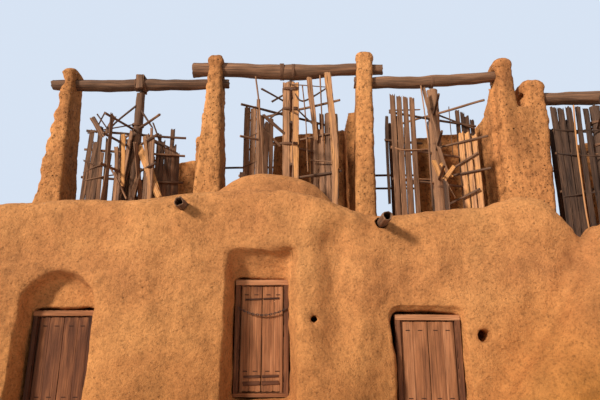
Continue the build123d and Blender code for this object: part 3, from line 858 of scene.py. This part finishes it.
for number, (axis, radius, foot, head, top, turn, rises) in enumerate(ROTORS, start=1):
    tone = SHAFT_TONES[number - 1]
    shaft = lay(
        trunk,
        ((axis, SHAFT_LINE, DECK + SHAFT_FOOT, 2 * foot), (axis, SHAFT_LINE, DECK + top, 2 * head)),
        1, 1, seed=40 + number, tone=tone, wander=0.012, rough=0.09,
    )
    pins = [
        lay(pole, ((axis, SHAFT_LINE, DECK + PIN_FOOT),
                   (axis, SHAFT_LINE, DECK + SHAFT_FOOT + 0.05)),
            0.058, 0.058, seed=3, tone=0.1, wander=0, rough=0),
        lay(pole, ((axis, SHAFT_LINE, DECK + top - 0.05), (axis, SHAFT_LINE, DECK + top + 0.195)),
            0.055, 0.055, seed=4, tone=0.1, wander=0, rough=0),
    ]
    planks = []
    if number == 2:
        for offset, girth, split_tone in SPLICES:
            planks.append(
                lay(board, ((axis + offset, SHAFT_LINE - 0.145, DECK + SPLICE_FOOT),
                            (axis + offset * 1.1, SHAFT_LINE - 0.14, DECK + SPLICE_TOP)),
                    girth, 0.045, seed=60 + int(100 * offset), tone=split_tone, wander=0.005,
                    ragged=0.05, rough=0.05)
            )
    joined(
        f"rotor_{number}_trunk", [shaft] + pins + planks, old_wood, f"rotor_{number}",
        [f"rotor_{number}_shaft"],
    )
    ties = []
    if number == 2:
        for rise in SPLICE_TIES:
            ties += lashing(
                (axis, SHAFT_LINE - 0.03, DECK + rise), 0.182, 0.172, SHAFT_ROPE, 3, square=0.5
            )
    else:
        for rise in (rises[1] - 0.09, rises[2] + 0.21, rises[3] + 0.22):
            ties += lashing((axis, SHAFT_LINE, DECK + rise), 0.125, 0.125, SHAFT_ROPE, 3)
    joined(f"rotor_{number}_lashings", ties, rope, f"rotor_{number}")

# Chain
# A slack chain of iron links hangs across the second door from jamb to jamb. Every other link
# is turned on edge.
iron, tree, shader = new_material("old_iron", 0.6, 0.4)
rust = clouds(tree, mapped(tree, (30, 30, 30)), 1.0, 3.0)
tree.links.new(
    ramp(tree, rust, ((0.35, (0.03, 0.018, 0.014, 1)), (0.65, (0.10, 0.045, 0.025, 1)))),
    shader.inputs["Base Color"],
)
CHAIN_ENDS, CHAIN_DEPTH, CHAIN_TOP, CHAIN_SAG = (-2.40, -1.69), 0.145, 1.70, 0.10
LINK_REACH, LINK_OVAL, LINKS, WIRE = 0.021, 0.55, 22, 0.0055
links = []
for count in range(LINKS):
    share = (count + 0.5) / LINKS
    x = CHAIN_ENDS[0] + (CHAIN_ENDS[1] - CHAIN_ENDS[0]) * share
    slope = CHAIN_SAG * 4 * (2 * share - 1) / (CHAIN_ENDS[1] - CHAIN_ENDS[0])
    link = ring.copy()
    link.data = ring.data.copy()
    bpy.context.scene.collection.objects.link(link)
    for vertex in link.data.vertices:
        around = math.atan2(vertex.co.y, vertex.co.x)
        tube = (math.hypot(vertex.co.x, vertex.co.y) - 1) / 0.1 * WIRE
        along = math.cos(around) * (LINK_REACH + tube)
        over, thick = math.sin(around) * (LINK_OVAL * LINK_REACH + tube), vertex.co.z / 0.1 * WIRE
        if count % 2:
            over, thick = thick, over
        sag = CHAIN_SAG * 4 * share * (1 - share)
        vertex.co = (x + along, CHAIN_DEPTH + thick, CHAIN_TOP - sag + over + along * slope)
    links.append(link)
joined("door_2_chain", links, iron, "mill_house")

# Sails
# Six sails on each rotor, of boards split from trunks and tied upright to three poles at each
# of four levels, which pass through the shaft. The first mill's are broken, and poles and
# newly split boards lean against them all as repairs.
# Boards of each sail: distance from the shaft at the foot and at the head, width, rise of the
# foot and of the head over the deck, tone.
SAILS = {
    1: (
        ((0.95, 0.92, 0.10, 0.14, 2.36, 0.3), (0.85, 0.84, 0.10, 0.13, 2.55, 0.36),
         (0.76, 0.79, 0.095, 0.15, 2.94, 0.26), (0.67, 0.68, 0.10, 0.14, 2.48, 0.4),
         (0.575, 0.58, 0.10, 0.13, 2.62, 0.3), (0.48, 0.49, 0.10, 0.13, 2.54, 0.38)),
        ((1.04, 1.01, 0.10, 0.13, 2.72, 0.3), (0.91, 0.93, 0.105, 0.15, 3.10, 0.25),
         (0.72, 0.74, 0.10, 0.13, 2.45, 0.35)),
        ((1.04, 1.00, 0.10, 0.14, 2.66, 0.28), (0.92, 0.88, 0.105, 0.13, 3.04, 0.22),
         (0.80, 0.83, 0.10, 0.14, 2.36, 0.33), (0.66, 0.64, 0.09, 0.15, 2.7, 0.2)),
        ((1.045, 0.97, 0.10, 0.13, 2.74, 0.38), (0.93, 0.87, 0.105, 0.14, 2.46, 0.42),
         (0.81, 0.79, 0.10, 0.13, 2.82, 0.32), (0.68, 0.72, 0.10, 0.15, 2.22, 0.5),
         (0.55, 0.61, 0.10, 0.13, 2.56, 0.3)),
        ((1.03, 0.88, 0.10, 0.14, 1.96, 0.45), (0.86, 0.93, 0.09, 0.15, 2.84, 0.35)),
        ((0.92, 0.80, 0.11, 0.13, 2.42, 0.5), (0.80, 0.69, 0.10, 0.14, 2.66, 0.42),
         (0.68, 0.58, 0.10, 0.13, 2.52, 0.36), (0.56, 0.47, 0.10, 0.13, 2.6, 0.45)),
    ),
    2: (
        ((1.20, 1.19, 0.12, 0.14, 3.56, 0.55), (1.06, 1.065, 0.13, 0.13, 3.28, 0.66),
         (0.92, 0.91, 0.12, 0.15, 3.48, 0.5), (0.78, 0.80, 0.13, 0.14, 3.02, 0.62),
         (0.64, 0.65, 0.11, 0.13, 2.86, 0.5)),
        ((1.205, 1.20, 0.11, 0.13, 3.58, 0.3), (1.08, 1.07, 0.11, 0.14, 3.82, 0.35),
         (0.957, 0.96, 0.11, 0.13, 3.66, 0.3), (0.833, 0.83, 0.10, 0.15, 3.4, 0.4)),
        ((1.18, 1.19, 0.16, 0.13, 3.66, 0.56), (1.01, 1.01, 0.155, 0.14, 3.60, 0.62),
         (0.875, 0.87, 0.09, 0.13, 3.80, 0.45), (0.77, 0.77, 0.10, 0.14, 3.1, 0.42)),
        ((1.205, 1.20, 0.11, 0.13, 1.60, 0.4), (1.08, 1.09, 0.11, 0.14, 1.55, 0.35),
         (0.79, 0.76, 0.12, 0.15, 3.00, 0.52), (0.655, 0.64, 0.12, 0.13, 2.86, 0.45),
         (0.53, 0.52, 0.10, 0.14, 2.98, 0.42)),
        ((1.205, 1.20, 0.11, 0.14, 1.58, 0.45), (1.08, 1.08, 0.11, 0.13, 1.72, 0.55),
         (0.957, 0.96, 0.11, 0.14, 1.5, 0.5), (0.833, 0.82, 0.11, 0.13, 3.32, 0.6)),
        ((1.06, 1.05, 0.13, 0.14, 2.92, 0.46), (0.92, 0.93, 0.12, 0.13, 3.06, 0.42),
         (0.78, 0.77, 0.13, 0.15, 2.72, 0.52), (0.64, 0.64, 0.12, 0.13, 2.9, 0.44)),
    ),
    3: (
        ((1.13, 1.135, 0.115, 0.14, 3.28, 0.18), (0.99, 0.985, 0.115, 0.13, 3.34, 0.25),
         (0.855, 0.86, 0.11, 0.15, 3.42, 0.15), (0.72, 0.715, 0.115, 0.13, 3.46, 0.22)),
        ((1.12, 1.11, 0.12, 0.13, 3.34, 0.25), (0.986, 0.99, 0.115, 0.14, 3.46, 0.3),
         (0.852, 0.85, 0.12, 0.13, 3.20, 0.2), (0.718, 0.72, 0.11, 0.15, 3.4, 0.25)),
        ((1.12, 1.12, 0.12, 0.14, 3.30, 0.25), (0.986, 0.98, 0.115, 0.13, 3.44, 0.2),
         (0.852, 0.86, 0.12, 0.14, 3.25, 0.3), (0.718, 0.71, 0.11, 0.13, 3.1, 0.2)),
        ((1.11, 1.11, 0.125, 0.13, 3.51, 0.46), (0.945, 0.945, 0.13, 0.14, 3.52, 0.54),
         (0.775, 0.775, 0.125, 0.13, 3.52, 0.46), (0.605, 0.605, 0.12, 0.14, 3.53, 0.52)),
        ((1.12, 1.12, 0.11, 0.14, 1.20, 0.35), (0.986, 0.97, 0.11, 0.13, 1.30, 0.3),
         (0.852, 0.85, 0.11, 0.14, 1.34, 0.2), (0.718, 0.70, 0.12, 0.13, 1.42, 0.15)),
        ((0.90, 0.88, 0.115, 0.14, 2.50, 0.86), (0.75, 0.73, 0.115, 0.13, 2.58, 0.80),
         (0.605, 0.59, 0.115, 0.15, 2.62, 0.90)),
    ),
    4: (
        ((1.025, 1.02, 0.145, 0.13, 3.30, 0.12), (0.866, 0.87, 0.14, 0.14, 3.36, 0.18),
         (0.707, 0.70, 0.14, 0.13, 3.22, 0.14)),
        ((1.025, 1.02, 0.14, 0.14, 3.34, 0.2), (0.866, 0.86, 0.145, 0.13, 3.2, 0.14),
         (0.707, 0.72, 0.14, 0.15, 3.3, 0.2)),
        ((1.025, 1.03, 0.145, 0.13, 3.2, 0.14), (0.866, 0.87, 0.14, 0.13, 3.34, 0.2),
         (0.707, 0.70, 0.145, 0.14, 3.28, 0.12)),
        ((1.02, 1.03, 0.14, 0.14, 3.36, 0.16), (0.86, 0.85, 0.15, 0.13, 3.33, 0.12),
         (0.70, 0.66, 0.14, 0.13, 3.38, 0.18)),
        ((1.025, 1.02, 0.145, 0.14, 3.3, 0.2), (0.866, 0.87, 0.14, 0.13, 3.25, 0.15),
         (0.707, 0.71, 0.14, 0.13, 3.35, 0.2)),
        ((1.025, 1.03, 0.145, 0.13, 3.26, 0.16), (0.866, 0.86, 0.145, 0.14, 3.33, 0.2),
         (0.707, 0.70, 0.14, 0.14, 3.2, 0.14)),
    ),
}
# Poles and boards that lean against the arms: kind, width, thickness, tone, points from the
# shaft's axis with rises over the deck.
LEANING = {
    1: (
        ("pole", 0.045, 0.045, 0.2,
         ((-0.05, -0.06, 3.42), (-0.39, -0.30, 2.88), (-0.52, -0.38, 2.62))),
        ("pole", 0.045, 0.045, 0.2, ((0.04, -0.06, 3.30), (0.38, -0.15, 2.82))),
        ("board", 0.12, 0.025, 0.4,
         ((-0.98, -0.25, 3.03), (-0.79, -0.27, 2.73), (-0.66, -0.27, 2.52))),
        ("pole", 0.032, 0.032, 0.25,
         ((-0.87, -0.28, 3.10), (-0.60, -0.28, 2.74), (-0.50, -0.27, 2.58))),
        ("pole", 0.036, 0.036, 0.3,
         ((-0.71, -0.22, 3.16), (-0.81, -0.22, 2.89), (-0.86, -0.22, 2.64))),
        ("board", 0.08, 0.025, 0.45,
         ((-0.48, -0.20, 3.08), (-0.59, -0.22, 2.78), (-0.64, -0.22, 2.6))),
        ("pole", 0.034, 0.034, 0.25,
         ((-1.04, -0.26, 2.62), (-0.48, -0.17, 2.80), (-0.05, -0.09, 2.92))),
        ("pole", 0.038, 0.038, 0.3,
         ((-1.06, -0.27, 1.99), (-0.75, -0.22, 1.88), (-0.45, -0.16, 1.90))),
        ("pole", 0.034, 0.034, 0.35,
         ((-1.04, -0.26, 1.68), (-0.80, -0.22, 1.84), (-0.5, -0.2, 1.96))),
        ("pole", 0.036, 0.036, 0.3,
         ((-1.02, -0.26, 1.50), (-0.47, -0.17, 1.66), (0.0, -0.12, 1.72))),
        ("board", 0.09, 0.025, 0.97,
         ((-0.13, -0.50, 2.52), (-0.07, -0.53, 2.0), (-0.02, -0.52, 1.30))),
        ("board", 0.13, 0.03, 0.97,
         ((0.12, -0.18, 2.40), (0.44, -0.49, 1.72), (0.80, -0.64, 1.02))),
        ("board", 0.09, 0.025, 0.9, ((0.52, -0.53, 1.76), (0.84, -0.60, 0.98))),
        ("board", 0.07, 0.022, 0.8, ((0.30, -0.40, 2.5), (0.52, -0.56, 1.6), (0.60, -0.62, 0.6))),
        ("pole", 0.042, 0.042, 0.5,
         ((-0.46, -0.5, 1.93), (-0.16, -0.6, 1.48), (0.15, -0.70, 0.98))),
        ("pole", 0.05, 0.05, 0.18, ((0.05, -0.05, 2.72), (0.75, 0.08, 2.41))),
        ("pole", 0.04, 0.04, 0.25, ((0.30, 0.10, 3.05), (0.62, 0.16, 2.2), (0.80, 0.2, 1.3))),
        ("board", 0.08, 0.022, 0.6, ((-0.35, -0.30, 2.3), (-0.2, -0.48, 1.5), (-0.12, -0.62, 0.5))),
    ),
    2: (
        ("pole", 0.036, 0.036, 0.62,
         ((-0.78, -0.50, 3.93), (-0.68, -0.50, 3.11), (-0.57, -0.48, 1.72), (-0.54, -0.46, 0.9))),
        ("pole", 0.05, 0.05, 0.22, ((-0.66, -0.44, 3.64), (-0.10, -0.10, 3.46))),
        ("pole", 0.05, 0.05, 0.2, ((-0.47, 0.28, 3.66), (-0.10, 0.04, 3.76))),
        ("board", 0.07, 0.03, 0.5, ((-0.62, -0.46, 2.99), (-0.07, -0.13, 2.62))),
        ("pole", 0.04, 0.04, 0.3, ((-0.45, -0.31, 2.96), (-0.12, -0.10, 3.34))),
        ("board", 0.06, 0.03, 0.45, ((-0.61, -0.42, 2.68), (-0.22, -0.17, 2.34))),
        ("pole", 0.045, 0.045, 0.22,
         ((0.10, -0.14, 3.66), (0.31, -0.20, 3.44), (0.85, -0.51, 3.63))),
        ("pole", 0.026, 0.026, 0.3, ((0.02, -0.18, 3.88), (0.91, -0.51, 3.63))),
        ("pole", 0.04, 0.04, 0.25, ((0.12, -0.15, 3.30), (0.59, -0.33, 2.74))),
        ("board", 0.125, 0.025, 0.68,
         ((0.43, -0.40, 3.95), (0.50, -0.39, 3.3), (0.57, -0.40, 2.40))),
        ("pole", 0.034, 0.034, 0.5, ((0.68, -0.45, 3.97), (0.70, -0.46, 3.2), (0.72, -0.46, 2.35))),
        ("board", 0.15, 0.03, 0.80,
         ((0.84, -0.55, 4.0), (0.90, -0.57, 3.31), (0.96, -0.60, 2.60), (0.98, -0.62, 1.9),
          (0.97, -0.62, 1.16), (0.95, -0.6, 0.3))),
        ("board", 0.08, 0.024, 0.25, ((1.10, 0.52, 3.46), (1.11, 0.53, 2.4), (1.10, 0.54, 1.3))),
        ("pole", 0.036, 0.036, 0.4, ((0.45, -0.35, 1.95), (1.04, -0.60, 1.82))),
        ("pole", 0.03, 0.03, 0.5, ((-1.14, 0.56, 3.45), (-0.70, 0.32, 3.52))),
        ("pole", 0.034, 0.034, 0.4, ((-1.14, 0.55, 2.80), (-0.64, 0.30, 2.92))),
        ("pole", 0.034, 0.034, 0.4, ((-1.14, 0.55, 2.08), (-0.62, 0.30, 2.22))),
        ("pole", 0.03, 0.03, 0.55, ((0.28, -0.20, 3.85), (0.36, -0.24, 2.9), (0.40, -0.28, 1.7))),
    ),
    3: (
        ("board", 0.065, 0.05, 0.5,
         ((-0.28, -0.28, 3.76), (-0.17, -0.34, 3.0), (-0.06, -0.38, 2.25), (0.09, -0.46, 1.55))),
        ("pole", 0.03, 0.03, 0.62,
         ((-0.34, -0.32, 3.80), (-0.30, -0.37, 3.0), (-0.27, -0.42, 2.28))),
        ("pole", 0.026, 0.026, 0.4,
         ((-0.27, -0.42, 2.35), (-0.30, -0.45, 1.6), (-0.31, -0.47, 0.85))),
        ("pole", 0.034, 0.034, 0.75, ((0.00, -0.46, 1.52), (0.13, -0.68, 1.0))),
        ("pole", 0.055, 0.055, 0.3, ((0.10, -0.10, 1.70), (0.72, -0.62, 2.04))),
        ("pole", 0.055, 0.055, 0.3, ((0.06, -0.10, 0.96), (0.69, -0.62, 1.24))),
        ("pole", 0.045, 0.045, 0.2, ((0.06, 0.02, 3.22), (1.05, 0.36, 3.00))),
        ("board", 0.085, 0.03, 0.97, ((-0.06, -0.43, 1.86), (0.17, -0.45, 1.54))),
        ("board", 0.09, 0.03, 0.95, ((-0.02, -0.47, 1.46), (0.22, -0.50, 1.78))),
        ("board", 0.10, 0.03, 0.9, ((-0.20, -0.42, 1.94), (-0.10, -0.44, 1.56))),
        ("pole", 0.022, 0.022, 0.3, ((0.40, 0.10, 3.46), (0.41, 0.12, 2.2))),
        ("board", 0.07, 0.024, 0.14,
         ((-1.09, 0.02, 3.18), (-1.12, 0.03, 2.0), (-1.12, 0.03, 1.05))),
        ("pole", 0.07, 0.06, 0.25, ((-1.18, 0.00, 2.57), (-0.85, 0.04, 2.55), (-0.3, 0.05, 2.5))),
        ("pole", 0.03, 0.03, 0.68,
         ((-1.13, -0.42, 2.25), (-0.84, -0.36, 2.19), (-0.21, -0.12, 2.30))),
        ("pole", 0.03, 0.03, 0.68, ((-1.12, -0.42, 1.52), (-0.22, -0.12, 1.58))),
        ("pole", 0.036, 0.036, 0.5, ((-1.13, -0.42, 3.12), (-0.34, -0.15, 3.25))),
    ),
    4: (
        ("pole", 0.036, 0.036, 0.85,
         ((-0.60, -0.20, 3.36), (-0.64, -0.22, 2.9), (-0.67, -0.20, 1.88), (-0.69, -0.22, 1.12),
          (-0.67, -0.22, 0.33))),
        ("pole", 0.04, 0.04, 0.12, ((-1.08, -0.12, 2.77), (-0.02, -0.13, 2.74))),
        ("pole", 0.04, 0.04, 0.14, ((-1.09, -0.12, 2.20), (-0.05, -0.13, 2.12))),
        ("pole", 0.04, 0.04, 0.12, ((-1.09, -0.12, 1.18), (-0.08, -0.13, 1.32))),
        ("board", 0.13, 0.022, 0.15,
         ((-0.46, -0.12, 3.36), (-0.50, -0.13, 1.8), (-0.52, -0.13, 0.2))),
        ("board", 0.13, 0.022, 0.12,
         ((-0.28, -0.12, 3.30), (-0.31, -0.13, 1.8), (-0.33, -0.13, 0.2))),
    ),
}
ARM_GIRTH = 0.056
BOARD_THICKNESS = 0.022
HEAPED, HEAPED_CLOSE = 24, 10  # loose boards on the first rotor, and those against its shaft
for number, (axis, radius, foot, head, top, turn, rises) in enumerate(ROTORS, start=1):
    hub = Vector((axis, SHAFT_LINE, DECK))
    arms = []
    heaped = random.Random(900 + number)
    for level, rise in enumerate(rises):
        for step in range(3):
            angle = math.radians(turn + 60 * step)
            out = Vector((math.cos(angle), math.sin(angle), 0)) * radius
            middle = hub + Vector((0, 0, rise + ARM_PITCH * step))
            arms.append(
                lay(pole, (middle - out, middle, middle + out), ARM_GIRTH, ARM_GIRTH,
                    facing=(0, 0, 1), seed=number * 200 + level * 10 + step,
                    tone=0.22 + 0.1 * ((level + step) % 3), wander=0.012, rough=0.12)
            )
    joined(
        f"rotor_{number}_poles", arms, old_wood, f"rotor_{number}",
        [f"rotor_{number}_arms"],
    )
    boards = []
    for sail, lengths in enumerate(SAILS[number]):
        angle = math.radians(turn + 60 * sail)
        out = Vector((math.cos(angle), math.sin(angle), 0))
        across = Vector((-math.sin(angle), math.cos(angle), 0))
        beside = (ARM_GIRTH + BOARD_THICKNESS) / 2
        for count, (at_foot, at_head, width, low, high, tone) in enumerate(lengths):
            line = [
                hub + out * (at_foot + (at_head - at_foot) * share) + across * beside
                + Vector((0, 0, low + (high - low) * share))
                for share in (0, 0.5, 1)
            ]
            boards.append(
                lay(board, line, width, BOARD_THICKNESS, facing=across, tone=tone,
                    seed=number * 1000 + sail * 20 + count, wander=0.012, ragged=0.07, rough=0.08)
            )
    kinds = {"pole": pole, "board": board}
    for count, (kind, width, thickness, tone, points) in enumerate(LEANING[number]):
        line = [hub + Vector(point) for point in points]
        boards.append(
            lay(kinds[kind], line, width, thickness, facing=(0.1, -1, 0.15), tone=tone,
                seed=number * 3000 + count, wander=0.014, ragged=0.04, rough=0.14, taper=0.85)
        )
    for count in range(HEAPED if number == 1 else 0):
        close = count < HEAPED_CLOSE
        angle = math.radians(heaped.uniform(150, 390))
        out = Vector((math.cos(angle), math.sin(angle), 0))
        foot_reach = heaped.uniform(0.19, 0.27) if close else heaped.uniform(0.3, 0.8)
        head_reach = heaped.uniform(0.135, 0.16) if close else heaped.uniform(0.16, 0.3)
        low, high = heaped.uniform(0.15, 0.7), heaped.uniform(1.7, 2.75)
        lean = Vector((-out.y, out.x, 0)) * heaped.uniform(-0.25, 0.25) * (0.2 if close else 1.0)
        line = [
            hub + out * foot_reach + Vector((0, 0, low)),
            hub + out * head_reach + lean + Vector((0, 0, high)),
        ]
        boards.append(
            lay(board, line, heaped.uniform(0.07, 0.13), 0.024, facing=out, seed=5000 + count,
                tone=heaped.uniform(0.25, 0.6), wander=0.02, ragged=0.08, rough=0.16)
        )
    joined(
        f"rotor_{number}_boards", boards, old_wood, f"rotor_{number}",
        [f"rotor_{number}_sails"],
    )

for leftover in (trunk, board, plank, pole, ring):
    bpy.data.objects.remove(leftover)

# Ground, light and camera
# A pale ground and a plain sky, a soft low sun from the left and the photograph's viewpoint: eye
# height, seven metres in front of the wall, looking up at the mills. The pale sky is only seen,
# and a dimmer one lights the building.
EYE = (-1.5, -7.08, 1.5)
LOOK_UP = 14.27
LENS = 28.8
SKY_COLOUR, SKY_STRENGTH = (0.97, 0.97, 1.0, 1), 0.40
BACKDROP_COLOUR = (0.68, 0.77, 0.90, 1)

bpy.ops.mesh.primitive_plane_add(size=120, location=(0, 0, -0.002))
ground = bpy.context.object
ground.name = "ground"
pale, tree, shader = new_material("pale_ground", 0.9, 0.2)
shader.inputs["Base Color"].default_value = (0.62, 0.6, 0.57, 1)
ground.data.materials.append(pale)

bpy.ops.object.light_add(type="SUN", rotation=(math.radians(67), 0, math.radians(-45)))
sun = bpy.context.object
sun.data.energy = 4.1
sun.data.color = (1.0, 0.95, 0.87)
sun.data.angle = math.radians(9)

world = bpy.data.worlds.new("pale sky")
bpy.context.scene.world = world
world.use_nodes = True
tree = world.node_tree
sky = tree.nodes["Background"]
sky.inputs["Color"].default_value = SKY_COLOUR
sky.inputs["Strength"].default_value = SKY_STRENGTH
backdrop = node(tree, "ShaderNodeBackground", Color=BACKDROP_COLOUR, Strength=1.0)
paths = node(tree, "ShaderNodeLightPath").outputs
seen = paths["Is Camera Ray"]
for ray in ("Is Glossy Ray", "Is Transmission Ray"):
    any_ray = node(tree, "ShaderNodeMath", operation="MAXIMUM")
    tree.links.new(seen, any_ray.inputs[0])
    tree.links.new(paths[ray], any_ray.inputs[1])
    seen = any_ray.outputs[0]
either = node(tree, "ShaderNodeMixShader")
for count, source in enumerate((seen, sky.outputs[0], backdrop.outputs[0])):
    tree.links.new(source, either.inputs[count])
tree.links.new(either.outputs[0], tree.nodes["World Output"].inputs["Surface"])

camera_data = bpy.data.cameras.new("camera")
camera = bpy.data.objects.new("camera", camera_data)
bpy.context.scene.collection.objects.link(camera)
camera_data.lens = LENS
camera_data.clip_end = 200
camera.location = EYE
camera.rotation_euler = (math.radians(90 + LOOK_UP), 0, 0)
bpy.context.scene.camera = camera
bpy.context.scene.view_settings.view_transform = "Standard"
